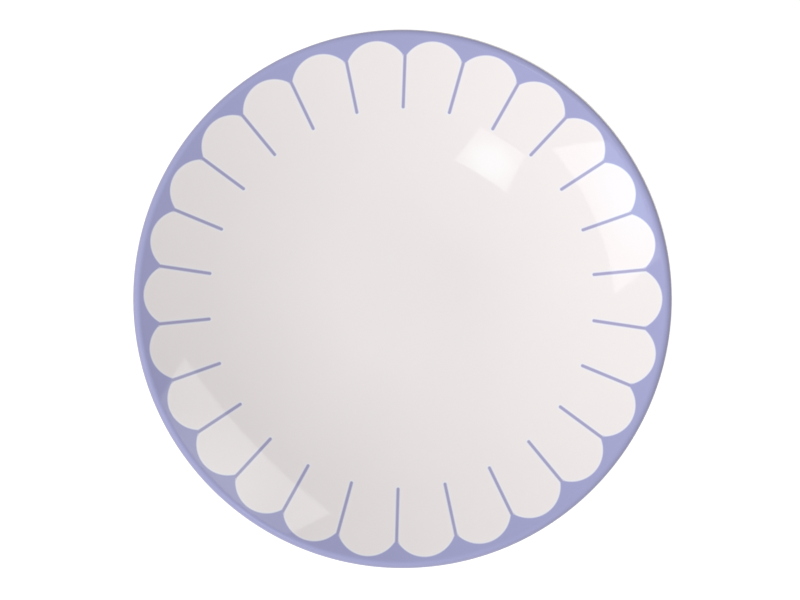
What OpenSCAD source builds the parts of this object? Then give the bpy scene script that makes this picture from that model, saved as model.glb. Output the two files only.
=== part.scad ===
// Dessert plate: a shallow coupe of glazed porcelain with a printed border of petals.
// Millimetres, +Z up, with the origin at the middle of the plane that the foot ring stands on.

/* [Plate] */
// Diameter over the lip
plate_d = 210; // [190:1:280]
// Thickness of the wall with its glaze; the lip is a full round of it
wall_t = 4.2; // [3:0.1:5.5]
// Radius of the flat middle of the well
flat_r = 25; // [12:1:30]
// Radius of the well's curve, in section
well_curve_r = 138; // [120:1:150]
// Slope in degrees at which the well's curve gives way to the wall's
wall_slope = 21.7; // [18:0.1:23]
// Radius of the wall's flatter curve, in section
wall_curve_r = 364; // [250:1:600]

/* [Foot] */
// Radius of the middle of the foot ring
foot_r = 57; // [46:0.5:62]
// Width of the foot ring at its lower end
foot_w = 4.4; // [3.4:0.1:7]
// Radius of the foot ring's two lower edges
foot_round = 0.9; // [0.4:0.05:1.2]
// Radius of the hollow where the foot ring meets the underside
foot_fillet = 1.4; // [0.4:0.1:2]
// Slant of the foot ring's sides from upright, in degrees
foot_slant = 14; // [0:1:25]
// Height of the underside's middle over what the plate stands on
foot_lift = 1.8; // [1.2:0.1:4]

/* [Glaze] */
// Thickness of the glaze
glaze_t = 0.3; // [0.2:0.05:0.45]
// How far the foot ring is wiped bare of glaze, up from its rounded edges
wiped_h = 0.25; // [0.1:0.05:0.8]

/* [Border] */
// Number of petals round the border
petals = 26; // [18:1:34]
// Band's width at the petals' tips, from the lip's edge
tip_gap = 4.2; // [3:0.1:8]
// How far two neighbouring petal heads would run into each other
head_merge = 3.6; // [2:0.1:4.5]
// Width of the lines between the petals
line_w = 1.25; // [0.8:0.05:2]
// Length of a line, from the band's point inwards
line_len = 20; // [6:0.5:26]
// White left at the lip's edge beyond the band, seen from above
white_lip = 0.3; // [0.2:0.05:1]
// Direction of the first line, in degrees from +X
first_line_at = 89.4; // [0:0.1:360]

/* [Print laid by hand] */
// Most that the petals creep round towards one side of the plate, in degrees
side_creep = 0.69; // [0:0.01:0.9]
// Direction in which that creep is most
side_creep_at = 40; // [0:1:360]
// Most that the petals creep to and fro, twice round the plate, in degrees
oval_creep = 0.49; // [0:0.01:0.6]
// Twice the direction in which that creep is most
oval_creep_at = 306; // [0:1:360]

/* [Hidden] */
$fn = 180;
well_steps = 12;
wall_steps = 6;
lip_steps = 7;
under_steps = 7;
foot_steps = 4;
overrun = 1;
lip_r = wall_t / 2;
face_z = foot_lift + wall_t;
wiped_z = foot_round + wiped_h;

// Section of the dish: a flat, a well arc and a flatter wall arc that share one slope, and the lip's round
well_at = [flat_r, face_z + well_curve_r];
wall_at = well_at + (well_curve_r - wall_curve_r) * [sin(wall_slope), -cos(wall_slope)];
lip_x = plate_d / 2 - lip_r;
lip_slope = asin((lip_x - wall_at.x) / (wall_curve_r + lip_r));
lip_at = [lip_x, wall_at.y - (wall_curve_r + lip_r) * cos(lip_slope)];
lip_end = acos(1 - white_lip / lip_r);
plate_h = lip_at.y + lip_r;

// Border: each petal's head is a circle, and a line starts at each point of the band between two heads
pitch = 360 / petals;
tip_r = plate_d / 2 - tip_gap;
head_r = (tip_r * sin(pitch / 2) + head_merge / 2) / (1 + sin(pitch / 2));
head_at = tip_r - head_r;
half_gap = head_r - head_merge / 2;
meeting_r = head_at * cos(pitch / 2) + sqrt(pow(head_r, 2) - pow(half_gap, 2));
point_r = head_at * cos(pitch / 2) + sqrt(pow(head_r, 2) - pow(half_gap - line_w / 2, 2));
line_end_r = point_r - line_len;

// Direction of the place on the border that is so many petals on from the first line, with its creep
function laid(steps) =
    let (even = first_line_at + steps * pitch)
    even + side_creep * cos(even - side_creep_at) + oval_creep * cos(2 * even - oval_creep_at);

function towards(a) = [cos(a), sin(a)];

function reversed(points) = [for (i = [len(points) - 1 : -1 : 0]) points[i]];

// Points of an arc round a centre between two directions, without its first one
function arc(centre, r, from, to, steps) =
    [for (i = [1 : steps]) centre + r * towards(from + (to - from) * i / steps)];

// The face's section at one depth in the wall, from the axis out over the lip to where the print ends
function face_line(depth) = concat(
    [[0, face_z - depth], [flat_r, face_z - depth]],
    arc(well_at, well_curve_r + depth, -90, wall_slope - 90, well_steps),
    arc(wall_at, wall_curve_r + depth, wall_slope - 90, lip_slope - 90, wall_steps),
    arc(lip_at, lip_r - depth, lip_slope + 90, lip_end, lip_steps)
);

// Foot ring's section: side is 1 outside and -1 inside, and inset moves the surface into the ring
function edge_at(side, inset) = [foot_r + side * (foot_w / 2 - foot_round - inset), foot_round];
function flank_out(side) = towards(90 - side * (90 + foot_slant));
function flank_up(side) = towards(90 - side * foot_slant);

// Centre of the hollow that touches both the ring's side and the well's arc on the underside
function fillet_at(side, inset) =
    let (
        start = edge_at(side, inset) + (foot_round + foot_fillet + inset) * flank_out(side),
        from_well = start - well_at,
        along = from_well * flank_up(side),
        reach = well_curve_r + wall_t + foot_fillet
    )
    start - (along + sqrt(along * along - from_well * from_well + reach * reach)) * flank_up(side);
function under_turn(side, inset) =
    let (to_well = well_at - fillet_at(side, inset))
    atan2(to_well.y, to_well.x);

// From the underside through the hollow and down the ring's side to where the glaze is wiped off
function flank_line(side, inset) =
    let (edge = edge_at(side, inset) + foot_round * flank_out(side))
    concat(
        arc(
            fillet_at(side, inset), foot_fillet + inset,
            under_turn(side, inset), 90 + side * (90 - foot_slant), foot_steps
        ),
        [edge + (wiped_z - edge.y) / cos(foot_slant) * flank_up(side)]
    );

// From there round the ring's lower edge to its flat
function edge_line(side, inset) = concat(
    [edge_at(side, inset) + foot_round * flank_out(side)],
    arc(edge_at(side, inset), foot_round, 90 - side * (90 + foot_slant), 90 - side * 180, foot_steps)
);

// Underside's section outside the ring, from the end of the print on the lip to the glaze's edge
function outer_line(inset) = concat(
    arc(lip_at, lip_r - inset, lip_end, lip_slope - 90, lip_steps),
    arc(wall_at, wall_curve_r + wall_t - inset, lip_slope - 90, wall_slope - 90, wall_steps),
    arc(well_at, well_curve_r + wall_t - inset, wall_slope - 90, under_turn(1, inset) - 180, under_steps),
    flank_line(1, inset)
);

// Underside's section inside the ring, from the axis to the glaze's edge
function recess_line(inset) = concat(
    [[0, foot_lift + inset], [flat_r, foot_lift + inset]],
    arc(well_at, well_curve_r + wall_t - inset, -90, under_turn(-1, inset) - 180, under_steps),
    flank_line(-1, inset)
);

// The face's whole coat of glaze, white and printed
module face_coat() {
    rotate_extrude() polygon(concat(face_line(0), reversed(face_line(glaze_t))));
}

// Outlines of all the lines between the petals, each run on into the band
module lines() {
    for (i = [0 : petals - 1]) rotate(laid(i)) translate([line_end_r + line_w / 2, 0]) {
        circle(line_w / 2);
        translate([0, -line_w / 2]) square([tip_r - line_end_r - line_w / 2, line_w]);
    }
}

// Outline of the white inside the border, lines left out
module white() {
    difference() {
        union() {
            circle(head_at);
            for (i = [0 : petals - 1]) rotate(laid(i + 0.5)) translate([head_at, 0]) circle(head_r);
        }
        lines();
    }
}

// Stands an outline, seen from above, through the whole height of the plate
module upright() {
    translate([0, 0, -overrun]) linear_extrude(plate_h + 2 * overrun) children();
}

module clay_body() {
    color("#ece7e1") rotate_extrude() polygon(concat(
        face_line(glaze_t),
        outer_line(glaze_t),
        edge_line(1, glaze_t),
        reversed(edge_line(-1, glaze_t)),
        reversed(recess_line(glaze_t))
    ));
}

module face_glaze() {
    color("#e9e4e3") intersection() {
        face_coat();
        upright() white();
    }
}

module scallop_band() {
    color("#a3a4ca") difference() {
        face_coat();
        upright() white();
        upright() circle(meeting_r);
    }
}

module petal_lines() {
    color("#a3a4ca") intersection() {
        face_coat();
        upright() intersection() {
            circle(meeting_r);
            lines();
        }
    }
}

module back_glaze() {
    color("#e6e1df") rotate_extrude() polygon(concat(
        [lip_at + lip_r * towards(lip_end)],
        outer_line(0),
        reversed(outer_line(glaze_t)),
        [lip_at + (lip_r - glaze_t) * towards(lip_end)]
    ));
}

module foot_recess_glaze() {
    color("#e6e1df") rotate_extrude() polygon(concat(recess_line(0), reversed(recess_line(glaze_t))));
}

clay_body();
face_glaze();
scallop_band();
petal_lines();
back_glaze();
foot_recess_glaze();
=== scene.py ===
"""Dessert plate: a shallow coupe of glazed porcelain with a lavender border of petals, on a white table."""

import math

import bpy
import numpy as np
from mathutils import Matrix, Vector


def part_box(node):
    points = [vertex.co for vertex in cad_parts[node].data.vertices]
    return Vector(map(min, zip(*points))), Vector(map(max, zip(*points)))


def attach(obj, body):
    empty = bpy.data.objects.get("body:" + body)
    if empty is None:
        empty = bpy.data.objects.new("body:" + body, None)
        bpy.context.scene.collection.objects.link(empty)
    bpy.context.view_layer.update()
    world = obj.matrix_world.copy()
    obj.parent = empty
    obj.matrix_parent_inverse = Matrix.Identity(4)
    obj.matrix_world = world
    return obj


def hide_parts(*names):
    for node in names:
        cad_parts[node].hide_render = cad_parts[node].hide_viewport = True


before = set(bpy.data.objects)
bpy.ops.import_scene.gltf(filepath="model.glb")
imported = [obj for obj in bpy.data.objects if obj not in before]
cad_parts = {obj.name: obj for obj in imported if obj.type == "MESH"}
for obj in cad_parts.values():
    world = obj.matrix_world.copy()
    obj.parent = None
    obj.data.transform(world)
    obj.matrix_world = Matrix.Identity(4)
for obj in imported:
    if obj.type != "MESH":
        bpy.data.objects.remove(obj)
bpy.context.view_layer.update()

MM = 0.001
TINY = 1e-20
QUARTER = math.pi / 2
FACE_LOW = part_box("face_glaze")[0]
BACK_LOW, BACK_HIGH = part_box("back_glaze")

# Dish: a flat middle, a well arc and a flatter wall arc that share one slope, and a lip that is a full
# round
GLAZE_T = 0.3 * MM
WALL_T = 4.2 * MM
FLAT_R = 25 * MM
WELL_CURVE_R = 138 * MM
WALL_SLOPE = math.radians(21.7)
WALL_CURVE_R = 364 * MM
PLATE_R = BACK_HIGH.x
FACE_Z = FACE_LOW.z + GLAZE_T
LIP_R = WALL_T / 2
LIP_X = PLATE_R - LIP_R
WELL_AT = np.array([FLAT_R, FACE_Z + WELL_CURVE_R])
WALL_AT = WELL_AT + (WELL_CURVE_R - WALL_CURVE_R) * np.array([math.sin(WALL_SLOPE), -math.cos(WALL_SLOPE)])
LIP_SLOPE = math.asin((LIP_X - WALL_AT[0]) / (WALL_CURVE_R + LIP_R))
LIP_AT = np.array([LIP_X, WALL_AT[1] - (WALL_CURVE_R + LIP_R) * math.cos(LIP_SLOPE)])
LIP_STARTS_R = LIP_X - LIP_R * math.sin(LIP_SLOPE)

# Foot ring: slanted sides that run up into the underside through a hollow, and rounded lower edges
FOOT_R = 57 * MM
FOOT_W = 4.4 * MM
FOOT_ROUND = 0.9 * MM
FOOT_FILLET = 1.4 * MM
FOOT_SLANT = math.radians(14)

# Edge where the glaze was wiped off the foot ring: its height, the slow and the quick wave in it, each with
# how many go round the ring, its share of the height and its phase in radians, and how far round the
# glaze's rounded end goes there
WIPED_Z = BACK_LOW.z
WIPED_WAVE = 0.07 * MM
SLOW_COUNT, SLOW_SHARE, SLOW_PHASE = 5, 0.6, 0.7
QUICK_COUNT, QUICK_SHARE, QUICK_PHASE = 13, 0.4, 2.1
BEAD_SWEEP = math.radians(85)

# Border: every petal's head is an arc of a circle, and a line runs in from each point between two heads
PETALS = 26
PITCH = 2 * math.pi / PETALS
TIP_GAP = 4.15 * MM
HEAD_MERGE = 3.6 * MM
LINE_W = 1.25 * MM
LINE_LEN = 20.35 * MM
FIRST_LINE_AT = math.radians(89.38)
TIP_R = PLATE_R - TIP_GAP
HEAD_R = (TIP_R * math.sin(PITCH / 2) + HEAD_MERGE / 2) / (1 + math.sin(PITCH / 2))
HEAD_AT = TIP_R - HEAD_R
HALF_GAP = HEAD_R - HEAD_MERGE / 2
POINT_R = HEAD_AT * math.cos(PITCH / 2) + math.sqrt(HEAD_R ** 2 - (HALF_GAP - LINE_W / 2) ** 2)
LINE_END_R = POINT_R - LINE_LEN
LINE_MIDDLE_R = POINT_R - LINE_LEN / 2

# How far to each side of its petal's middle line a head's arc counts for the distance from the print's
# border, and the distance taken where no border is near
ARC_SWEEP = math.radians(75)
FAR_OFF = 1.0

# Print laid by hand: it creeps round the plate, its lines lean from straight outwards and its petals' heads
# turn from the middle between their lines, in degrees. The heads and the lines' inner ends creep outwards
# too, in millimetres. The two main waves of each: how many go round the plate, their size, and a crest's
# direction
ROUND_CREEP = ((1, 0.68, 44), (2, 0.48, 152))
LINE_LEAN = math.radians(-1.07)
LEAN_CREEP = ((1, 0.90, 230), (2, 0.67, 48))
HEAD_TURN = math.radians(-0.17)
HEAD_CREEP = ((3, 0.19, 8), (4, 0.23, 74))
END_CREEP = ((1, 0.42, 133), (2, 0.52, 11))

# White left at the lip's edge beyond the band: it is widest in one direction, and the higher the power, the
# quicker it narrows away from there
LEAST_WHITE_LIP = 0.06 * MM
MOST_WHITE_LIP = 0.5 * MM
MOST_WHITE_LIP_AT = math.radians(52)
WHITE_LIP_POWER = 4

# How finely the surfaces are cut
HEAD_COLUMNS = 24
LINE_COLUMNS = 4
DISC_ROWS = 20
CAP_ROWS = 6
PETAL_ROWS = 22
BAND_ROWS = 10
LIP_ROWS = 20
UNDER_ROWS = 20
FOOT_ROWS = 8

# Photograph: its frame in pixels, a pixel's size at the lip's height, and where the plate's middle is in it.
# Camera: its sensor's width in millimetres, its height over the lip, and how near and far it sees
PICTURE_W, PICTURE_H = 800, 600
PIXEL = 0.38965 * MM
PLATE_AT_PX = (402.52, 298.80)
SENSOR = 36
CAMERA_UP = 1.6
CLIP_START = 0.05
CLIP_END = 20

# Colours of the glaze: on the face, in the print, in the print darkened round the lip's outside as painted
# shade, and in its fine lines, where the print's colour hazes the white beside it, underneath, and pooled by
# the foot ring
WHITE = (0.866, 0.814, 0.806)
LAVENDER = (0.366, 0.369, 0.613)
# painted shade: the print's colour made darker on the lip's outer round, standing in for the shade there
LAVENDER_PAINTED_LIP_SHADE = (0.352, 0.352, 0.555)
FINE_LAVENDER = (0.374, 0.357, 0.554)
PRINT_HAZE = (0.856, 0.850, 0.905)
UNDER_WHITE = (0.852, 0.809, 0.798)
POOLED_WHITE = (0.77, 0.765, 0.76)

# How far these colours run into each other: the print and the white, half of each where they meet, the
# haze beside the print, the pooled glaze, and the painted shade on the lip's print, which starts at one
# share of its round and is full at another
BLEED = 0.25 * MM
MEETING_SHARE = 0.5
HAZE_REACH = 1.0 * MM
POOL_REACH = 2.2 * MM
LIP_SHADE_STARTS_SHARE = 0.3
LIP_SHADE_FULL_SHARE = 0.65

# Gloss: the print in the glaze dulls it a little
GLAZE_IOR = 1.5
PRINT_IOR = 1.43

# Unevenness of the glaze: how fine each noise is, per metre, between which of its values it counts, how
# much the colour drifts, the roughness at its least and most, and the ripple's height
DRIFT_SCALE = 28
DRIFT_LOW, DRIFT_HIGH = 0.3, 0.7
WHITE_DRIFT = 0.006
UNDER_DRIFT = 0.012
PRINT_DRIFT = 0.02
GLOSS_SCALE = 420
GLOSS_LOW, GLOSS_HIGH = 0.2, 0.8
LEAST_ROUGHNESS, MOST_ROUGHNESS = 0.02, 0.045
RIPPLE_SCALE = 110
RIPPLE_H = 0.006 * MM

# Bare clay: the colours of its ground, of its darker specks and of where the ring rubs on shelves, how far
# up and how strongly it is rubbed, how fine its specks and its grain are, per metre, and the grain's height
PALE_CLAY = (0.86, 0.805, 0.755)
DARK_CLAY = (0.78, 0.72, 0.665)
RUBBED_CLAY = (0.66, 0.61, 0.57)
RUBBED_H = 0.25 * MM
RUBBED_SHARE = 0.35
SPECK_SCALE = 300
GRAIN_SCALE = 2600
GRAIN_H = 0.02 * MM
CLAY_ROUGHNESS = 0.8

# Table: its size, how far it lies under the foot ring, how light its grey is for light that isn't seen, and
# how light the grey is and how much it glows where it is seen
TABLE_HALF_W = 6.0
TABLE_DROP = 0.1 * MM
TABLE_GREY = 0.7
SEEN_GREY = 0.35
SEEN_GLOW = 0.84

# Light: the air's at the horizon, how much brighter it is towards one side and overhead, what a mirror sees
# of it, the glow of the table under the plate and where it has ended, and the share of its reach over which
# a lamp panel's core is evenly bright
AIR_LIGHT = 0.568
AIR_SIDE_LIGHT = 0.7
AIR_TOP_LIGHT = 0.457
AIR_SEEN = 1.0
BRIGHT_SIDE_AT = math.radians(208.6)
UNDER_GLOW = 0.3
UNDER_GLOW_END_R = 0.9 * PLATE_R
CORE_EVEN_SHARE = 0.2


# Sections. A section is an array of rows by columns by four: distance from the axis, height, and the
# outward direction's two parts. Rows run from the middle of the face, over the lip, to the middle
# underneath.

def towards(angle):
    """Unit vector in a section or in plan, at this angle from the first axis."""
    return np.stack([np.cos(angle), np.sin(angle)], axis=-1)


def spread(start, end, steps):
    """Evenly spaced values from start to end as rows; either may be one value or one for each column."""
    share = np.linspace(0, 1, steps + 1)[:, None]
    return np.atleast_1d(start) + share * (np.atleast_1d(end) - np.atleast_1d(start))


def arc(centre, radius, start, end, steps, hollow=False):
    """Section along an arc: centre plus radius times the direction, facing away from the centre, or
    towards it where the arc is hollow."""
    facing = towards(spread(start, end, steps))
    points = np.asarray(centre) + radius * facing
    return np.concatenate([points, -facing if hollow else facing], axis=-1)


def straight(start, end, facing, steps):
    """Section along a straight stretch between two points, facing one way all along."""
    share = np.linspace(0, 1, steps + 1)[:, None, None]
    points = np.atleast_2d(start) + share * (np.atleast_2d(end) - np.atleast_2d(start))
    return np.concatenate([points, np.broadcast_to(facing, points.shape)], axis=-1)


def joined(*stretches):
    """Stretches of a section put end to end, as many columns as the fullest of them has."""
    columns = max(stretch.shape[1] for stretch in stretches)
    full = [np.broadcast_to(s, (s.shape[0], columns, 4)) for s in stretches]
    return np.concatenate([full[0]] + [s[1:] for s in full[1:]])


def sunk(section, depth):
    """Section moved into the wall by this depth, square to the surface."""
    return np.concatenate([section[..., :2] - depth * section[..., 2:], section[..., 2:]], axis=-1)


def face_section(r):
    """Face at these distances from the axis. Its slope's sine grows evenly with the distance past the flat,
    at one rate on the well's arc and at a lower one on the wall's."""
    well_sine = np.clip((r - FLAT_R) / WELL_CURVE_R, 0, math.sin(WALL_SLOPE))
    wall_sine = (r - WALL_AT[0]) / WALL_CURVE_R
    on_wall = wall_sine > math.sin(WALL_SLOPE)
    slope = np.arcsin(np.where(on_wall, wall_sine, well_sine))
    height = np.where(
        on_wall,
        WALL_AT[1] - WALL_CURVE_R * np.cos(slope),
        WELL_AT[1] - WELL_CURVE_R * np.cos(slope),
    )
    return np.stack([r, height, -np.sin(slope), np.cos(slope)], axis=-1)


def white_lip_ends(direction):
    """Direction in the lip's round where the band ends: the white beyond it is a hair's breadth, and widens
    on one side of the plate, because the print sits a little off centre."""
    near = ((1 + np.cos(direction - MOST_WHITE_LIP_AT)) / 2) ** WHITE_LIP_POWER
    white = LEAST_WHITE_LIP + (MOST_WHITE_LIP - LEAST_WHITE_LIP) * near
    return np.arccos(1 - white / LIP_R)


def ring_edge_at(side, inset):
    """Centre of the round on the foot ring's lower edge, outside (side 1) or inside (side -1)."""
    return np.array([FOOT_R + side * (FOOT_W / 2 - FOOT_ROUND - inset), FOOT_ROUND])


def flank_out(side):
    """Way the ring's side faces."""
    return towards(QUARTER - side * (QUARTER + FOOT_SLANT))


def flank_up(side):
    """Way up along the ring's side."""
    return towards(QUARTER - side * FOOT_SLANT)


def fillet_at(side):
    """Centre of the hollow that touches the ring's side and the well's arc underneath: from the ring's side
    straight up along it, to where the distance from the well's centre is the sum of the two radii."""
    start = ring_edge_at(side, 0) + (FOOT_ROUND + FOOT_FILLET) * flank_out(side)
    from_well = start - WELL_AT
    along = from_well @ flank_up(side)
    reach = WELL_CURVE_R + WALL_T + FOOT_FILLET
    return start - (along + math.sqrt(along ** 2 - from_well @ from_well + reach ** 2)) * flank_up(side)


def under_turn(side):
    """Direction from the hollow's centre to the well's centre."""
    to_well = WELL_AT - fillet_at(side)
    return math.atan2(to_well[1], to_well[0])


def fillet_foot(side):
    """Point where the hollow meets the ring's side."""
    return fillet_at(side) - FOOT_FILLET * flank_out(side)


def wiped_edge(side, direction):
    """Where the glaze was wiped off the ring's side, all round it: level but for a slight wave."""
    slow = SLOW_SHARE * np.sin(SLOW_COUNT * direction + SLOW_PHASE)
    quick = QUICK_SHARE * np.sin(QUICK_COUNT * direction + QUICK_PHASE * side)
    height = WIPED_Z + WIPED_WAVE * (1 + slow + quick)
    foot = fillet_foot(side)
    drop = (foot[1] - height) / math.cos(FOOT_SLANT)
    return foot - drop[:, None] * flank_up(side)


# Meshes. A surface is a set of points, the way each of them faces, and faces of four corners in which a
# corner that repeats the one before it makes a triangle.

def stood_round(section, direction):
    """Turns a section round the axis: one column of it stands in each direction."""
    way = towards(direction)
    section = np.broadcast_to(section, (len(section), len(direction), 4))
    points = np.concatenate([section[..., :1] * way, section[..., 1:2]], axis=-1)
    facing = np.concatenate([section[..., 2:3] * way, section[..., 3:4]], axis=-1)
    return points, facing


def on_face(plan):
    """Stands points of the plan on the face, each with the way that the face faces there."""
    r = np.hypot(plan[..., 0], plan[..., 1])
    section = face_section(r)
    way = plan / np.maximum(r, TINY)[..., None]
    points = np.concatenate([plan, section[..., 1:2]], axis=-1)
    facing = np.concatenate([section[..., 2:3] * way, section[..., 3:4]], axis=-1)
    return points, facing


def grid_faces(numbers):
    """Faces of a grid, from the numbers of its points by rows and columns."""
    corners = [numbers[:-1, :-1], numbers[1:, :-1], numbers[1:, 1:], numbers[:-1, 1:]]
    return np.stack(corners, axis=-1).reshape(-1, 4)


def round_numbers(rows, columns):
    """Numbers of a grid that closes on itself round the axis."""
    numbers = np.arange(rows * columns).reshape(rows, columns)
    return np.concatenate([numbers, numbers[:, :1]], axis=1)


def flat_facing(points, faces):
    """The way each face faces, from its two diagonals, as one row for each of its corners."""
    corner = points[faces]
    across = np.cross(corner[:, 2] - corner[:, 0], corner[:, 3] - corner[:, 1])
    across /= np.maximum(np.linalg.norm(across, axis=1), TINY)[:, None]
    return np.repeat(across, 4, axis=0).reshape(-1, 4, 3)


def put_in_mesh(name, points, faces, facing, border=None):
    """Makes an object of points and faces, with the way each corner faces, and each point's distance from
    the print's border where the finish needs it."""
    keep = faces != np.roll(faces, 1, axis=1)
    counts = keep.sum(1)
    mesh = bpy.data.meshes.new(name)
    mesh.vertices.add(len(points))
    mesh.vertices.foreach_set("co", points.astype(np.float32).ravel())
    mesh.loops.add(int(counts.sum()))
    mesh.loops.foreach_set("vertex_index", faces[keep].astype(np.int32))
    mesh.polygons.add(len(faces))
    mesh.polygons.foreach_set("loop_start", (np.cumsum(counts) - counts).astype(np.int32))
    mesh.update(calc_edges=True)
    mesh.shade_smooth()
    mesh.normals_split_custom_set(facing[keep].astype(np.float32))
    if border is not None:
        to_border = mesh.attributes.new("to_border", "FLOAT", "POINT")
        to_border.data.foreach_set("value", border.astype(np.float32))
    piece = bpy.data.objects.new(name, mesh)
    bpy.context.scene.collection.objects.link(piece)
    return piece


def skin(name, outer, facing, inner, faces, border=None):
    """Closed skin between an outer and an inner surface with the same faces, walled in along every edge
    that only one face has. A wall stands square to the surface and is flat."""
    count = len(outer)
    ends = np.stack([faces, np.roll(faces, -1, axis=1)], axis=-1).reshape(-1, 2)
    ends = ends[ends[:, 0] != ends[:, 1]]
    there = ends[:, 0] * count + ends[:, 1]
    back = ends[:, 1] * count + ends[:, 0]
    rim = ends[~np.isin(there, back)]
    walls = np.stack([rim[:, 0] + count, rim[:, 1] + count, rim[:, 1], rim[:, 0]], axis=-1)
    points = np.concatenate([outer, inner])
    under = faces[:, ::-1]
    corner_facing = np.concatenate([facing[faces], -facing[under], flat_facing(points, walls)])
    if border is not None:
        border = np.concatenate([border, border])
    return put_in_mesh(name, points, np.concatenate([faces, under + count, walls]), corner_facing, border)


# Border in plan. Petal number i lies between lines i and i + 1.

def creep(waves, direction):
    """Sum of waves round the plate in these directions."""
    return sum(size * np.cos(count * (direction - math.radians(crest))) for count, size, crest in waves)


def laid(steps):
    """Direction of the place on the border that is so many petals on from the first line: even steps, with
    the print's creep round the plate."""
    even = FIRST_LINE_AT + steps * PITCH
    return even + np.radians(creep(ROUND_CREEP, even))


LINE_AT = laid(np.arange(PETALS))
LEANS = np.tan(LINE_LEAN + np.radians(creep(LEAN_CREEP, LINE_AT)))
PETAL_AT = laid(np.arange(PETALS) + 0.5) + HEAD_TURN
HEADS_AT = HEAD_AT + MM * creep(HEAD_CREEP, PETAL_AT)
HEAD_CENTRES = HEADS_AT[:, None] * towards(PETAL_AT)
LINE_ENDS_R = LINE_END_R + MM * creep(END_CREEP, LINE_AT)


def turned(plan, direction):
    """Plans of lines, each in its own frame with the first axis outwards, turned to their directions."""
    along = towards(direction)
    across = np.stack([-along[..., 1], along[..., 0]], axis=-1)
    shape = (len(direction),) + (1,) * (plan.ndim - 2) + (2,)
    return plan[..., :1] * along.reshape(shape) + plan[..., 1:] * across.reshape(shape)


def leaning(x, lean):
    """How far aside a leaning line is at these distances from the axis: none at its middle."""
    return lean * (x - LINE_MIDDLE_R)


def line_edges(side):
    """Edges of all the lines on one side, worked out in each line's own frame: a quarter circle round the
    inner end, then straight out to where the edge meets that side's petal head, all of it leaning. The edge
    meets the head where its distance from the head's centre is the head's radius."""
    back = 0 if side > 0 else 1
    apart = np.angle(np.exp(1j * (np.roll(PETAL_AT, back) - LINE_AT)))
    head_x = np.roll(HEADS_AT, back) * np.cos(apart)
    head_y = np.roll(HEADS_AT, back) * np.sin(apart)
    aside = side * LINE_W / 2 + leaning(0, LEANS) - head_y
    middle = head_x - LEANS * aside
    steep = 1 + LEANS ** 2
    point_x = (middle + np.sqrt(middle ** 2 - steep * (head_x ** 2 + aside ** 2 - HEAD_R ** 2))) / steep
    turn = np.linspace(0, QUARTER, CAP_ROWS + 1)
    cap_x = LINE_ENDS_R[:, None] + LINE_W / 2 * (1 - np.cos(turn))
    share = np.linspace(0, 1, PETAL_ROWS + 1)[1:]
    edge_x = cap_x[:, -1:] + share * (point_x[:, None] - cap_x[:, -1:])
    whole_x = np.concatenate([cap_x, edge_x], axis=1)
    upright_y = np.concatenate([np.sin(turn), np.ones(PETAL_ROWS)]) * side * LINE_W / 2
    whole_y = upright_y + leaning(whole_x, LEANS[:, None])
    return turned(np.stack([whole_x, whole_y], axis=-1), LINE_AT)


UPPER_EDGES = line_edges(1)
LOWER_EDGES = line_edges(-1)


def head_arcs():
    """Heads' arcs, each from one line's point to the next's round the head's centre."""
    first = UPPER_EDGES[:, -1] - HEAD_CENTRES
    last = np.roll(LOWER_EDGES[:, -1], -1, axis=0) - HEAD_CENTRES
    start = np.arctan2(first[:, 1], first[:, 0])
    sweep = np.mod(np.arctan2(last[:, 1], last[:, 0]) - start, 2 * math.pi)
    share = np.linspace(0, 1, HEAD_COLUMNS + 1)
    return HEAD_CENTRES[:, None] + HEAD_R * towards(start[:, None] + share * sweep[:, None])


HEAD_ARCS = head_arcs()


def petal_bottoms():
    """Curves through the lines' inner ends, each from one line to the next: distances and directions."""
    share = np.linspace(0, 1, HEAD_COLUMNS + 1)
    aside = leaning(LINE_ENDS_R, LEANS)
    ends_r = np.hypot(LINE_ENDS_R, aside)
    ends_at = LINE_AT + np.arctan2(aside, LINE_ENDS_R)
    next_ends_at = np.append(ends_at[1:], ends_at[0] + 2 * math.pi)
    bottom_r = ends_r[:, None] + share * (np.roll(ends_r, -1) - ends_r)[:, None]
    bottom_at = ends_at[:, None] + share * (next_ends_at - ends_at)[:, None]
    return bottom_r, bottom_at


def petal_plans():
    """Petals as grids stretched between four sides: the curve through the lines' inner ends, the two
    lines' edges and the head's arc. Each point is the blend of two sides one way, plus the blend of the
    other two the other way, less the blend of the corners."""
    across = np.linspace(0, 1, HEAD_COLUMNS + 1)[None, None, :, None]
    bottom_r, bottom_at = petal_bottoms()
    bottom = (bottom_r[..., None] * towards(bottom_at))[:, None]
    top = HEAD_ARCS[:, None]
    left = UPPER_EDGES[:, :, None]
    right = np.roll(LOWER_EDGES, -1, axis=0)[:, :, None]
    cap_share = LINE_W / 2 / LINE_LEN * (1 - np.cos(np.linspace(0, QUARTER, CAP_ROWS + 1)))
    edge_share = np.linspace(cap_share[-1], 1, PETAL_ROWS + 1)[1:]
    up = np.concatenate([cap_share, edge_share])[None, :, None, None]
    corners = (
        (1 - across) * (1 - up) * bottom[:, :, :1]
        + across * (1 - up) * bottom[:, :, -1:]
        + (1 - across) * up * top[:, :, :1]
        + across * up * top[:, :, -1:]
    )
    return (1 - up) * bottom + up * top + (1 - across) * left + across * right - corners


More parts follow.
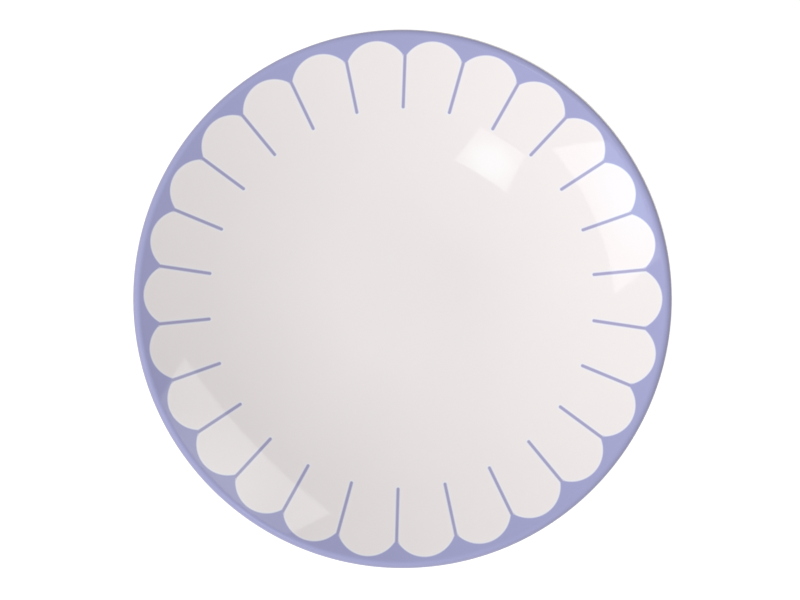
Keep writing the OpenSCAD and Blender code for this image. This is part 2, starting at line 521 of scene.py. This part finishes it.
def face_glaze():
    """White face: rings of points out to the lines' inner ends, the last of them through those ends, and a
    grid for each petal beyond them that starts on the last ring."""
    columns = PETALS * HEAD_COLUMNS
    bottom_r, bottom_at = petal_bottoms()
    ring_r = spread(FLAT_R, bottom_r[:, :-1].ravel(), DISC_ROWS)
    ring_r = np.concatenate([ring_r[:1] / 2, ring_r])
    rings = ring_r[..., None] * towards(bottom_at[:, :-1].ravel())
    petals = petal_plans()
    plan = np.concatenate([np.zeros((1, 2)), rings.reshape(-1, 2), petals[:, 1:].reshape(-1, 2)])
    points, facing = on_face(plan)
    ring_numbers = 1 + round_numbers(len(ring_r), columns)
    middle = np.zeros((1, columns + 1), int)
    disc_faces = grid_faces(np.concatenate([middle, ring_numbers]))
    first_free = 1 + ring_r.size
    petal_shape = (PETALS, petals.shape[1] - 1, HEAD_COLUMNS + 1)
    free_numbers = first_free + np.arange(math.prod(petal_shape)).reshape(petal_shape)
    start_columns = np.arange(PETALS)[:, None] * HEAD_COLUMNS + np.arange(HEAD_COLUMNS + 1)
    start_numbers = ring_numbers[-1][start_columns][:, None]
    petal_numbers = np.concatenate([start_numbers, free_numbers], axis=1)
    petal_faces = [grid_faces(numbers) for numbers in petal_numbers]
    faces = np.concatenate([disc_faces] + petal_faces)
    border = np.minimum(to_heads(plan), to_lines(plan))
    return skin("white_face", points, facing, points - GLAZE_T * facing, faces, border)


def petal_lines():
    """Printed lines: between a line's two edges each row is a straight run of points, and the first row is
    the one point of the rounded end."""
    share = np.linspace(0, 1, LINE_COLUMNS + 1)[None, None, :, None]
    plan = LOWER_EDGES[:, :, None] * (1 - share) + UPPER_EDGES[:, :, None] * share
    rows = plan.shape[1]
    points, facing = on_face(plan.reshape(-1, 2))
    numbers = np.arange(len(points)).reshape(PETALS, rows, LINE_COLUMNS + 1)
    numbers[:, 0] = numbers[:, 0, :1]
    used, faces = in_use(np.concatenate([grid_faces(line) for line in numbers]))
    points = points[used]
    facing = facing[used]
    border = to_lines(points[:, :2])
    return skin("line_print", points, facing, points - GLAZE_T * facing, faces, border)


def band_columns():
    """Inner edge of the band in plan: each head's arc, then straight over the end of the next line."""
    share = np.arange(1, LINE_COLUMNS)[:, None] / LINE_COLUMNS
    line_start = HEAD_ARCS[:, -1:]
    line_end = np.roll(HEAD_ARCS[:, :1], -1, axis=0)
    steps = line_start + share * (line_end - line_start)
    return np.concatenate([HEAD_ARCS, steps], axis=1).reshape(-1, 2)


def to_heads(plan):
    """Distance from points of the plan to the head's arc of the petal between whose lines' directions they
    lie. It counts only for points within ARC_SWEEP of the petal's middle line, seen from the head's
    centre."""
    past_first = np.mod(np.arctan2(plan[:, 1], plan[:, 0]) - LINE_AT[0], 2 * math.pi)
    petal = np.searchsorted(LINE_AT - LINE_AT[0], past_first, side="right") - 1
    out = plan - HEAD_CENTRES[petal]
    along = (out * towards(PETAL_AT[petal])).sum(-1)
    away = np.hypot(out[:, 0], out[:, 1])
    in_sweep = along > away * math.cos(ARC_SWEEP)
    return np.where(in_sweep, np.abs(away - HEAD_R), FAR_OFF)


def to_lines(plan):
    """Distance from points of the plan to the nearest line's edge or rounded end."""
    way = towards(LINE_AT)
    along = plan @ way.T
    across = plan[..., 1:] * way[:, 0] - plan[..., :1] * way[:, 1] - leaning(along, LEANS)
    short_of_end = np.minimum(along - LINE_ENDS_R - LINE_W / 2, 0)
    return np.abs(np.hypot(short_of_end, across) - LINE_W / 2).min(-1)


BAND_EDGE = band_columns()
BAND_AT = np.arctan2(BAND_EDGE[:, 1], BAND_EDGE[:, 0])


def scallop_band():
    """Printed band: straight out over the face from the petals' outline to the lip, then round the lip."""
    edge_r = np.hypot(BAND_EDGE[:, 0], BAND_EDGE[:, 1])
    flat_part = face_section(spread(edge_r, LIP_STARTS_R, BAND_ROWS))
    lip_part = arc(LIP_AT, LIP_R, LIP_SLOPE + QUARTER, white_lip_ends(BAND_AT), LIP_ROWS)
    section = joined(flat_part, lip_part)
    outer, facing = stood_round(section, BAND_AT)
    inner, _ = stood_round(sunk(section, GLAZE_T), BAND_AT)
    faces = grid_faces(round_numbers(*section.shape[:2]))
    outer = outer.reshape(-1, 3)
    return skin(
        "scallop_print", outer, facing.reshape(-1, 3), inner.reshape(-1, 3), faces, to_heads(outer[:, :2])
    )


def glaze_bead(side, direction):
    """Rounded end of the glaze on the ring's side: nearly a quarter circle of the glaze's thickness, centred
    on the clay, from the ring's side down to the clay. Gives the outer section and the clay's under it."""
    edge = wiped_edge(side, direction)
    centre = edge + GLAZE_T * (flank_up(side) - flank_out(side))
    turn = np.linspace(0, BEAD_SWEEP, FOOT_ROWS + 1)[:, None, None]
    facing = np.cos(turn) * flank_out(side) - np.sin(turn) * flank_up(side)
    facing = np.broadcast_to(facing, (FOOT_ROWS + 1, len(direction), 2))
    clay = centre - GLAZE_T * np.sin(turn) * flank_up(side)
    return (
        np.concatenate([centre + GLAZE_T * facing, facing], axis=-1),
        np.concatenate([clay, facing], axis=-1),
    )


def lip_to_ring(start):
    """Stretches from this direction in the lip's round down the underside of the wall and the well to the
    hollow's end on the ring's outer side."""
    return (
        arc(LIP_AT, LIP_R, start, LIP_SLOPE - QUARTER, LIP_ROWS),
        arc(WALL_AT, WALL_CURVE_R + WALL_T, LIP_SLOPE - QUARTER, WALL_SLOPE - QUARTER, UNDER_ROWS // 2),
        arc(WELL_AT, WELL_CURVE_R + WALL_T, WALL_SLOPE - QUARTER, under_turn(1) - math.pi, UNDER_ROWS // 2),
        arc(fillet_at(1), FOOT_FILLET, under_turn(1), math.pi - FOOT_SLANT, FOOT_ROWS, hollow=True),
    )


def ring_to_flat():
    """Stretches from the ring's inner side through the hollow and over the well's underside to its flat."""
    return (
        arc(fillet_at(-1), FOOT_FILLET, FOOT_SLANT, under_turn(-1), FOOT_ROWS, hollow=True),
        arc(WELL_AT, WELL_CURVE_R + WALL_T, under_turn(-1) - math.pi, -QUARTER, UNDER_ROWS),
    )


def under_flat(steps):
    """Stretch of the flat underneath, from the well's curve to the axis."""
    return straight([FLAT_R, FACE_Z - WALL_T], [0, FACE_Z - WALL_T], [0, -1], steps)


def in_use(faces):
    """Numbers of the points that the faces use, and the faces in numbers of those points alone."""
    used, faces = np.unique(faces, return_inverse=True)
    return used, faces.reshape(-1, 4)


def back_glaze():
    """White back: from the band's end round the lip's outside, down the underside of the wall and the well,
    through the hollow and down the ring's outer side to the bead where it was wiped off."""
    outer_bead, clay_bead = glaze_bead(1, BAND_AT)
    flank = straight(fillet_foot(1), outer_bead[0, :, :2], flank_out(1), FOOT_ROWS)
    glazed = joined(*lip_to_ring(white_lip_ends(BAND_AT)), flank)
    return glazed_piece("underside_glaze", glazed, outer_bead, clay_bead, BAND_AT)


def recess_glaze():
    """White inside the foot ring: from the bead up the ring's inner side, through the hollow and over the
    well's underside to its flat middle."""
    outer_bead, clay_bead = glaze_bead(-1, BAND_AT)
    flank = straight(outer_bead[0, :, :2], fillet_foot(-1), flank_out(-1), FOOT_ROWS)
    glazed = joined(flank, *ring_to_flat(), under_flat(2))
    return glazed_piece("recess_glaze", glazed, outer_bead[::-1], clay_bead[::-1], BAND_AT)


def glazed_piece(name, glazed, outer_bead, clay_bead, direction):
    """Skin of glaze from its glazed stretch and its bead, in the order in which they lie."""
    bead_first = np.allclose(glazed[0, :, :2], outer_bead[-1, :, :2])
    if bead_first:
        outer = joined(outer_bead, glazed)
        under = joined(clay_bead, sunk(glazed, GLAZE_T))
    else:
        outer = joined(glazed, outer_bead)
        under = joined(sunk(glazed, GLAZE_T), clay_bead)
    points, facing = stood_round(outer, direction)
    clay, _ = stood_round(under, direction)
    numbers = round_numbers(*outer.shape[:2])
    if outer[-1, 0, 0] == 0:
        numbers[-1] = numbers[-1, 0]
    used, faces = in_use(grid_faces(numbers))
    points, facing, clay = [part.reshape(-1, 3)[used] for part in (points, facing, clay)]
    return skin(name, points, facing, clay, faces)


def clay_body():
    """Porcelain under the glaze: the whole section, sunk by the glaze's thickness, with the ring's lower
    edge bare, turned all the way round."""
    columns = PETALS * HEAD_COLUMNS // 2
    direction = np.arange(columns) * 2 * math.pi / columns
    radii = spread(FLAT_R, LIP_STARTS_R, DISC_ROWS)
    face = face_section(np.concatenate([0 * radii[:1], radii]))
    over = sunk(joined(face, *lip_to_ring(LIP_SLOPE + QUARTER)), GLAZE_T)
    ring = joined(
        arc(ring_edge_at(1, GLAZE_T), FOOT_ROUND, -FOOT_SLANT, -QUARTER, FOOT_ROWS),
        arc(ring_edge_at(-1, GLAZE_T), FOOT_ROUND, -QUARTER, FOOT_SLANT - math.pi, FOOT_ROWS),
    )
    under = sunk(joined(*ring_to_flat(), under_flat(1)), GLAZE_T)
    section = np.concatenate([np.broadcast_to(s, (len(s), columns, 4)) for s in (over, ring, under)])
    points, facing = stood_round(section, direction)
    numbers = round_numbers(len(section), columns)
    numbers[0] = numbers[0, 0]
    numbers[-1] = numbers[-1, 0]
    used, faces = in_use(grid_faces(numbers))
    points = points.reshape(-1, 3)[used]
    facing = facing.reshape(-1, 3)[used]
    return put_in_mesh("porcelain_body", points, faces, facing[faces])


# Materials. A value given to a node is a number, or another node's output.

def add_node(tree, kind, inputs=None, **settings):
    """Puts a node in a tree with its settings, and its inputs' values or what they are linked from."""
    made = tree.nodes.new(kind)
    for name, value in settings.items():
        setattr(made, name, value)
    for name, value in (inputs or {}).items():
        if isinstance(value, bpy.types.NodeSocket):
            tree.links.new(value, made.inputs[name])
        else:
            made.inputs[name].default_value = value
    return made


def add_maths(tree, operation, *values):
    """Result of working something out from one, two or three values."""
    return add_node(tree, "ShaderNodeMath", dict(enumerate(values)), operation=operation).outputs[0]


def add_vector_maths(tree, operation, *values, result="Vector"):
    """Result of working something out from vectors."""
    made = add_node(tree, "ShaderNodeVectorMath", dict(enumerate(values)), operation=operation)
    return made.outputs[result]


def add_noise(tree, place, scale, detail):
    """Smooth noise, this fine per metre and in so many finer layers."""
    inputs = {"Vector": place, "Scale": scale, "Detail": detail}
    return add_node(tree, "ShaderNodeTexNoise", inputs).outputs["Fac"]


def add_range(tree, value, start, end, at_start, at_end, smooth=False):
    """Runs from one level to another while a value runs from its start to its end."""
    kind = "SMOOTHSTEP" if smooth else "LINEAR"
    made = add_node(tree, "ShaderNodeMapRange", {
        "Value": value, "From Min": start, "From Max": end, "To Min": at_start, "To Max": at_end,
    }, interpolation_type=kind)
    return made.outputs["Result"]


def add_mix(tree, share, colour, other):
    """One colour, turning to another by a share; either is three numbers or a node's output."""
    colour, other = [c if isinstance(c, bpy.types.NodeSocket) else (*c, 1) for c in (colour, other)]
    mix = add_node(tree, "ShaderNodeMix", {"Factor": share, "A": colour, "B": other}, data_type="RGBA")
    return mix.outputs["Result"]


def own_place(tree):
    """Place on the object, in metres."""
    return add_node(tree, "ShaderNodeTexCoord").outputs["Object"]


def from_axis(tree):
    """Distance from the plate's axis."""
    level = add_vector_maths(tree, "MULTIPLY", own_place(tree), (1, 1, 0))
    return add_vector_maths(tree, "LENGTH", level, result="Value")


def glaze_group():
    """Glaze's own unevenness, for every glazed material: a slow drift of the colour, a roughness that varies
    a little, and the faint ripple that a poured glaze sets with."""
    group = bpy.data.node_groups.new("glaze_coat", "ShaderNodeTree")
    group.interface.new_socket("Colour", in_out="INPUT", socket_type="NodeSocketColor")
    group.interface.new_socket("Drift", in_out="INPUT", socket_type="NodeSocketFloat")
    group.interface.new_socket("Colour", in_out="OUTPUT", socket_type="NodeSocketColor")
    group.interface.new_socket("Roughness", in_out="OUTPUT", socket_type="NodeSocketFloat")
    group.interface.new_socket("Height", in_out="OUTPUT", socket_type="NodeSocketFloat")
    given = add_node(group, "NodeGroupInput")
    place = own_place(group)
    low = add_maths(group, "SUBTRACT", 1.0, given.outputs["Drift"])
    high = add_maths(group, "ADD", 1.0, given.outputs["Drift"])
    slow = add_noise(group, place, DRIFT_SCALE, 2)
    drift = add_range(group, slow, DRIFT_LOW, DRIFT_HIGH, low, high)
    fine = add_noise(group, place, GLOSS_SCALE, 1)
    add_node(group, "NodeGroupOutput", {
        "Colour": add_vector_maths(group, "MULTIPLY", given.outputs["Colour"], drift),
        "Roughness": add_range(group, fine, GLOSS_LOW, GLOSS_HIGH, LEAST_ROUGHNESS, MOST_ROUGHNESS),
        "Height": add_noise(group, place, RIPPLE_SCALE, 1),
    })
    return group


def cleared_tree(owner):
    """Node tree of a material, a world or a lamp, with nothing in it."""
    owner.use_nodes = True
    owner.node_tree.nodes.clear()
    return owner.node_tree


def new_material(name):
    """Material with its surface shader joined to its output."""
    material = bpy.data.materials.new(name)
    tree = cleared_tree(material)
    shader = add_node(tree, "ShaderNodeBsdfPrincipled")
    add_node(tree, "ShaderNodeOutputMaterial", {"Surface": shader.outputs["BSDF"]})
    return material, tree, shader


def near_border(tree, reach, at_border):
    """Share that falls smoothly from its value at the print's border to nothing at its reach."""
    border = add_node(tree, "ShaderNodeAttribute", attribute_name="to_border")
    return add_range(tree, border.outputs["Fac"], 0.0, reach, at_border, 0.0, smooth=True)


def hazed_white(tree):
    """White glaze beside the print: hazed by its colour first, then running into it."""
    hazed = add_mix(tree, near_border(tree, HAZE_REACH, 1.0), WHITE, PRINT_HAZE)
    return add_mix(tree, near_border(tree, BLEED, MEETING_SHARE), hazed, LAVENDER)


def printed(tree, colour):
    """The print's colour, running into the hazed white."""
    return add_mix(tree, near_border(tree, BLEED, MEETING_SHARE), colour, PRINT_HAZE)


def printed_with_painted_lip_shade(tree):
    """The band's colour, darkened round the lip's outside as painted shade."""
    starts_r = LIP_X + LIP_SHADE_STARTS_SHARE * LIP_R
    full_r = LIP_X + LIP_SHADE_FULL_SHARE * LIP_R
    # painted shade: the print darkens towards the lip's outside
    outside = add_range(tree, from_axis(tree), starts_r, full_r, 0.0, 1.0, smooth=True)
    return printed(tree, add_mix(tree, outside, LAVENDER, LAVENDER_PAINTED_LIP_SHADE))


def pooled_white(tree):
    """White glaze underneath, deeper where it pools in the hollows on both sides of the foot ring, by how
    close the nearer hollow's middle is."""
    hollow = fillet_at(1)[0] - FOOT_R
    from_ring = add_maths(tree, "ABSOLUTE", add_maths(tree, "SUBTRACT", from_axis(tree), FOOT_R))
    from_hollow = add_maths(tree, "ABSOLUTE", add_maths(tree, "SUBTRACT", from_ring, hollow))
    pooled = add_range(tree, from_hollow, 0.0, POOL_REACH, 1.0, 0.0, smooth=True)
    return add_mix(tree, pooled, UNDER_WHITE, POOLED_WHITE)


def glazed_material(name, coat, drift, ior, colouring, *colour):
    """Glossy glaze over porcelain, coloured by one of the ways above, with the coat's unevenness."""
    material, tree, shader = new_material(name)
    inputs = {"Colour": colouring(tree, *colour), "Drift": drift}
    glaze = add_node(tree, "ShaderNodeGroup", inputs, node_tree=coat)
    bump = add_node(tree, "ShaderNodeBump", {"Height": glaze.outputs["Height"], "Distance": RIPPLE_H})
    tree.links.new(glaze.outputs["Colour"], shader.inputs["Base Color"])
    tree.links.new(glaze.outputs["Roughness"], shader.inputs["Roughness"])
    tree.links.new(bump.outputs["Normal"], shader.inputs["Normal"])
    shader.inputs["IOR"].default_value = ior
    return material


def clay_material():
    """Bare fired clay: fine matt grain, with a slightly greyer tone where the ring rubs on shelves."""
    material, tree, shader = new_material("fired_clay")
    place = own_place(tree)
    tone = add_mix(tree, add_noise(tree, place, SPECK_SCALE, 2), PALE_CLAY, DARK_CLAY)
    height = add_node(tree, "ShaderNodeSeparateXYZ", {"Vector": place})
    rubbed = add_range(tree, height.outputs["Z"], 0.0, RUBBED_H, RUBBED_SHARE, 0.0)
    worn = add_mix(tree, rubbed, tone, RUBBED_CLAY)
    grain = add_noise(tree, place, GRAIN_SCALE, 3)
    bump = add_node(tree, "ShaderNodeBump", {"Height": grain, "Distance": GRAIN_H})
    tree.links.new(worn, shader.inputs["Base Color"])
    tree.links.new(bump.outputs["Normal"], shader.inputs["Normal"])
    shader.inputs["Roughness"].default_value = CLAY_ROUGHNESS
    return material


# Stage

def seen_share(tree):
    """One where a ray comes straight from the camera or by way of a mirror or glass, else none."""
    path = add_node(tree, "ShaderNodeLightPath").outputs
    seen = add_maths(tree, "MAXIMUM", path["Is Camera Ray"], path["Is Glossy Ray"])
    return add_maths(tree, "MAXIMUM", seen, path["Is Transmission Ray"])


def add_grey(tree, lightness, glow):
    """Matt grey surface that also glows white."""
    matt = add_node(tree, "ShaderNodeBsdfDiffuse", {"Color": (lightness, lightness, lightness, 1)})
    white = add_node(tree, "ShaderNodeEmission", {"Color": (1, 1, 1, 1), "Strength": glow})
    both = add_node(tree, "ShaderNodeAddShader", {0: matt.outputs[0], 1: white.outputs[0]})
    return both.outputs[0]


def table_material():
    """White table, shadows and all: seen, it glows up to white, and it can be looked through from below.
    It is lit from inside under the plate, so that the underside isn't left dark."""
    material = bpy.data.materials.new("white_table")
    tree = cleared_tree(material)
    under = add_range(tree, from_axis(tree), FOOT_R, UNDER_GLOW_END_R, UNDER_GLOW, 0.0, smooth=True)
    unseen = add_grey(tree, TABLE_GREY, under)
    seen = add_grey(tree, SEEN_GREY, SEEN_GLOW)
    above = add_node(tree, "ShaderNodeMixShader", {0: seen_share(tree), 1: unseen, 2: seen})
    clear = add_node(tree, "ShaderNodeBsdfTransparent")
    from_below = add_node(tree, "ShaderNodeNewGeometry").outputs["Backfacing"]
    surface = add_node(tree, "ShaderNodeMixShader", {
        0: from_below, 1: above.outputs[0], 2: clear.outputs[0],
    })
    add_node(tree, "ShaderNodeOutputMaterial", {"Surface": surface.outputs[0]})
    return material


def table_top():
    """Table as one large square just under the foot ring."""
    mesh = bpy.data.meshes.new("table_top")
    sides = ((-1, -1), (1, -1), (1, 1), (-1, 1))
    corners = [(x * TABLE_HALF_W, y * TABLE_HALF_W, -TABLE_DROP) for x, y in sides]
    mesh.from_pydata(corners, [], [range(len(corners))])
    mesh.materials.append(table_material())
    table = bpy.data.objects.new("table_top", mesh)
    bpy.context.scene.collection.objects.link(table)


def studio_air():
    """Light from all round, brighter from one side of the studio and from overhead, and plain white where
    the camera or a reflection sees it."""
    world = bpy.data.worlds.new("studio_air")
    tree = cleared_tree(world)
    way = add_node(tree, "ShaderNodeTexCoord").outputs["Generated"]
    bright_way = (*(AIR_SIDE_LIGHT * towards(BRIGHT_SIDE_AT)), AIR_TOP_LIGHT)
    brighter = add_vector_maths(tree, "DOT_PRODUCT", way, bright_way, result="Value")
    light = add_maths(tree, "ADD", add_maths(tree, "MAXIMUM", brighter, -AIR_LIGHT), AIR_LIGHT)
    strength = add_range(tree, seen_share(tree), 0.0, 1.0, light, AIR_SEEN)
    air = add_node(tree, "ShaderNodeBackground", {"Color": (1, 1, 1, 1), "Strength": strength})
    add_node(tree, "ShaderNodeOutputWorld", {"Surface": air.outputs[0]})
    bpy.context.scene.world = world


CAMERA_AT = Vector((
    -(PLATE_AT_PX[0] - PICTURE_W / 2) * PIXEL,
    (PLATE_AT_PX[1] - PICTURE_H / 2) * PIXEL,
    LIP_AT[1] + CAMERA_UP,
))


def overhead_camera():
    """Camera straight above, at the distance and lens that give the lip its size in the picture."""
    data = bpy.data.cameras.new("overhead_camera")
    data.sensor_width = SENSOR
    data.lens = SENSOR * CAMERA_UP / (PICTURE_W * PIXEL)
    data.clip_start = CLIP_START
    data.clip_end = CLIP_END
    camera = bpy.data.objects.new("overhead_camera", data)
    camera.location = CAMERA_AT
    bpy.context.scene.collection.objects.link(camera)
    bpy.context.scene.camera = camera


def softbox_glow(data, rim, core, core_at, core_reach, arch, taper):
    """Radiance over a panel, across and up which run from -1 to 1: the rim's in plain white all over, and
    the core's three added to it, falling smoothly to nothing at the core's reach. An arched panel's height
    is arch less than its frame's, and it bends down towards the middle by as much. Its sides taper
    downwards."""
    tree = cleared_tree(data)
    parametric = add_node(tree, "ShaderNodeNewGeometry").outputs["Parametric"]
    in_frame = add_vector_maths(tree, "MULTIPLY_ADD", parametric, (2, 2, 0), (-1, -1, 0))
    axes = add_node(tree, "ShaderNodeSeparateXYZ", {"Vector": in_frame}).outputs
    across_squared = add_maths(tree, "MULTIPLY", axes["X"], axes["X"])
    bend = add_maths(tree, "MULTIPLY_ADD", across_squared, -arch, arch / 2)
    up = add_maths(tree, "ADD", axes["Y"], bend)
    in_height = add_maths(tree, "LESS_THAN", add_maths(tree, "ABSOLUTE", up), 1 - arch / 2)
    half_wide = add_maths(tree, "MULTIPLY_ADD", up, taper / 2, 1 - taper / 2)
    in_width = add_maths(tree, "LESS_THAN", add_maths(tree, "ABSOLUTE", axes["X"]), half_wide)
    lit = add_maths(tree, "MULTIPLY", in_height, in_width)
    in_panel = add_node(tree, "ShaderNodeCombineXYZ", {"X": axes["X"], "Y": up}).outputs[0]
    from_core = add_vector_maths(tree, "SUBTRACT", in_panel, (*core_at, 0))
    in_reach = add_vector_maths(tree, "MULTIPLY", from_core, (1 / core_reach[0], 1 / core_reach[1], 0))
    away = add_vector_maths(tree, "LENGTH", in_reach, result="Value")
    share = add_range(tree, away, CORE_EVEN_SHARE, 1.0, 1.0, 0.0, smooth=True)
    colour = add_vector_maths(tree, "MULTIPLY_ADD", share, core, (rim, rim, rim))
    light = add_node(tree, "ShaderNodeEmission", {"Color": colour, "Strength": lit})
    add_node(tree, "ShaderNodeOutputLight", {"Surface": light.outputs[0]})


def mirrored_way(r, at):
    """Where the camera looks by way of the face at this distance from the axis, in this direction: the spot
    on the face, the level way out from it, and the angle from straight up."""
    points, facing = on_face(r * towards(np.radians([at])))
    spot = Vector(points[0])
    facing = Vector(facing[0])
    ray = (spot - CAMERA_AT).normalized()
    way = ray - 2 * ray.dot(facing) * facing
    level = Vector((way.x, way.y, 0))
    return spot, level.normalized(), math.atan2(level.length, way.z)


def softbox(name, near_r, far_r, mirrored_at, wide, distance, **glow):
    """Lamp panel placed by its mirror image in the face: it reaches from where the camera looks by way of
    the face at the nearer distance from the axis to where it looks at the farther one, in one direction in
    degrees. It is so many degrees wide, seen from the nearer spot on the face, at its distance from it. Its
    power is such that the glow's numbers are its radiance."""
    spot, level, near_zenith = mirrored_way(near_r, mirrored_at)
    far_zenith = mirrored_way(far_r, mirrored_at)[2]
    zenith = (near_zenith + far_zenith) / 2
    away = math.sin(zenith) * level + Vector((0, 0, math.cos(zenith)))
    data = bpy.data.lights.new(name, "AREA")
    data.shape = "RECTANGLE"
    data.size = 2 * distance * math.tan(math.radians(wide) / 2)
    data.size_y = 2 * distance * math.tan((far_zenith - near_zenith) / 2)
    data.energy = math.pi * data.size * data.size_y
    softbox_glow(data, **glow)
    lamp = bpy.data.objects.new(name, data)
    lamp.location = spot + distance * away
    lamp.rotation_euler = (-away).to_track_quat("-Z", "Y").to_euler()
    lamp.visible_camera = False
    bpy.context.scene.collection.objects.link(lamp)


def finish_piece(piece, material, slot, *nodes):
    """Gives a piece its material, hangs it under the root body and hides the solids that it stands for."""
    piece.data.materials.append(material)
    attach(piece, "root")
    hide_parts(*nodes)


overhead_camera()
studio_air()
table_top()
softbox(
    "key_softbox", near_r=75.8 * MM, far_r=99.6 * MM, mirrored_at=23.3, wide=29.5, distance=3.0,
    rim=1.68, core=(0, 0.72, 1.45), core_at=(0.06, -0.42), core_reach=(0.95, 1.2), arch=0.48, taper=0.36,
)
softbox(
    "small_softbox", near_r=57.6 * MM, far_r=73.3 * MM, mirrored_at=57.5, wide=9.9, distance=2.5,
    rim=1.35, core=(1.1, 1.7, 1.88), core_at=(0, 0.19), core_reach=(1.28, 1.34), arch=0.0, taper=0.0,
)
softbox(
    "fill_softbox", near_r=75.9 * MM, far_r=100.3 * MM, mirrored_at=223.2, wide=38.4, distance=3.0,
    rim=1.67, core=(1.4, 1.4, 1.4), core_at=(0, -1.4), core_reach=(0.78, 2.8), arch=0.43, taper=0.31,
)

coat = glaze_group()
white = glazed_material("white_glaze", coat, WHITE_DRIFT, GLAZE_IOR, hazed_white)
white_under = glazed_material("white_glaze_underside", coat, UNDER_DRIFT, GLAZE_IOR, pooled_white)
lavender = glazed_material("lavender_print", coat, PRINT_DRIFT, PRINT_IOR, printed_with_painted_lip_shade)
fine_lavender = glazed_material(
    "lavender_fine_print", coat, PRINT_DRIFT, PRINT_IOR, printed, FINE_LAVENDER
)
clay = clay_material()

finish_piece(clay_body(), clay, "bisque_clay", "clay_body")
finish_piece(face_glaze(), white, "white_glaze", "face_glaze")
finish_piece(petal_lines(), fine_lavender, "lavender_glaze", "petal_lines")
finish_piece(scallop_band(), lavender, "lavender_glaze", "scallop_band")
finish_piece(back_glaze(), white_under, "white_glaze", "back_glaze")
finish_piece(recess_glaze(), white_under, "white_glaze", "foot_recess_glaze")

scene = bpy.context.scene
scene.view_settings.view_transform = "Standard"
